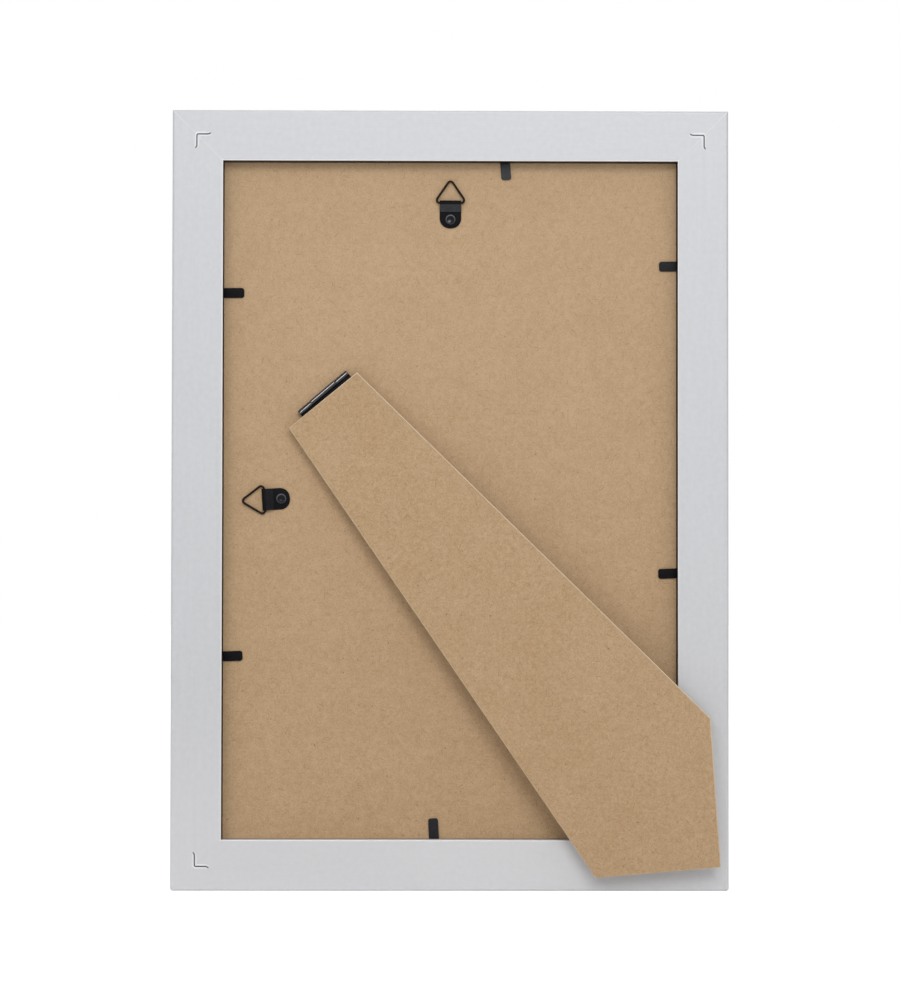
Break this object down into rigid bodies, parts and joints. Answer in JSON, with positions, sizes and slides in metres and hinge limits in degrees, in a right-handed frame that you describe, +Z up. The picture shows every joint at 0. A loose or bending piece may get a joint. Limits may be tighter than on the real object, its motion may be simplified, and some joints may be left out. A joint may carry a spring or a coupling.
{
  "type": "easel-back picture frame",
  "caption": "Moulded picture frame seen from behind: mitred silver rails, fibreboard back under bend-over tabs, triangle hangers and a folding diagonal easel strut.",
  "frame": {"origin": "middle of the bottom rail's underside, halfway through the moulding's depth", "axes": "+Z up along the upright picture, picture side faces -Y, back with strut and hangers faces +Y, hanger side is +X"},
  "size_m": [0.247, 0.0274, 0.346],
  "materials": {
    "silver_moulding": "satin silver foil over fibreboard",
    "fibreboard": "raw matt fibreboard",
    "glass": "clear polished",
    "paper": "matt bare sheet",
    "nail_steel": "dull",
    "black_steel": "semi-gloss black",
    "hinge_steel": "glossy dark steel"
  },
  "bodies": {
    "frame": {"rail_top": "silver_moulding", "rail_bottom": "silver_moulding", "rail_hanger_side": "silver_moulding", "rail_foot_side": "silver_moulding", "v_nails": "nail_steel", "tab_shanks": "black_steel", "glass": "glass", "insert_sheet": "paper", "back_board": "fibreboard", "hanger_top_strap": "black_steel", "hanger_top_rivet": "black_steel", "hanger_side_strap": "black_steel", "hanger_side_rivet": "black_steel", "hinge_board_leaf": "hinge_steel", "hinge_pin": "hinge_steel"},
    "strut": {"strut": "fibreboard", "hinge_strut_leaf": "hinge_steel"},
    "top_ring": {"hanger_top_ring": "black_steel"},
    "side_ring": {"hanger_side_ring": "black_steel"},
    "tab_hanger_side_upper": {"tab_hanger_side_upper": "black_steel"},
    "tab_hanger_side_lower": {"tab_hanger_side_lower": "black_steel"},
    "tab_foot_side_upper": {"tab_foot_side_upper": "black_steel"},
    "tab_foot_side_lower": {"tab_foot_side_lower": "black_steel"},
    "tab_top": {"tab_top": "black_steel"},
    "tab_bottom": {"tab_bottom": "black_steel"}
  },
  "joints": [
    {"name": "strut_hinge", "type": "hinge", "parent": "frame", "child": "strut", "pos_m": [0.05626, 0.00275, 0.22034], "axis": [0.7598, 0, -0.6502], "range_deg": [-1.5, 30.5]},
    {"name": "top_ring_swing", "type": "hinge", "parent": "frame", "child": "top_ring", "pos_m": [0, 0.0024, 0.30545], "axis": [-1, 0, 0], "range_deg": [0, 150]},
    {"name": "side_ring_swing", "type": "hinge", "parent": "frame", "child": "side_ring", "pos_m": [0.08249, 0.0024, 0.17295], "axis": [0.061, 0, 0.9981], "range_deg": [0, 150]},
    {"name": "bend_hanger_side_upper", "type": "hinge", "parent": "frame", "child": "tab_hanger_side_upper", "pos_m": [0.10049, 0.0017, 0.265], "axis": [-0.0087, 0, -1], "range_deg": [0, 84]},
    {"name": "bend_hanger_side_lower", "type": "hinge", "parent": "frame", "child": "tab_hanger_side_lower", "pos_m": [0.10049, 0.0017, 0.10332], "axis": [-0.0349, 0, -0.9994], "range_deg": [0, 84]},
    {"name": "bend_foot_side_upper", "type": "hinge", "parent": "frame", "child": "tab_foot_side_upper", "pos_m": [-0.10049, 0.0017, 0.27739], "axis": [0.0262, 0, 0.9997], "range_deg": [0, 84]},
    {"name": "bend_foot_side_lower", "type": "hinge", "parent": "frame", "child": "tab_foot_side_lower", "pos_m": [-0.10049, 0.0017, 0.14048], "axis": [0.0384, 0, 0.9993], "range_deg": [0, 84]},
    {"name": "bend_top", "type": "hinge", "parent": "frame", "child": "tab_top", "pos_m": [-0.02444, 0.0017, 0.32299], "axis": [0.9976, 0, -0.0698], "range_deg": [0, 84]},
    {"name": "bend_bottom", "type": "hinge", "parent": "frame", "child": "tab_bottom", "pos_m": [0.00693, 0.0017, 0.02301], "axis": [-0.9986, 0, 0.0523], "range_deg": [0, 84]}
  ]
}
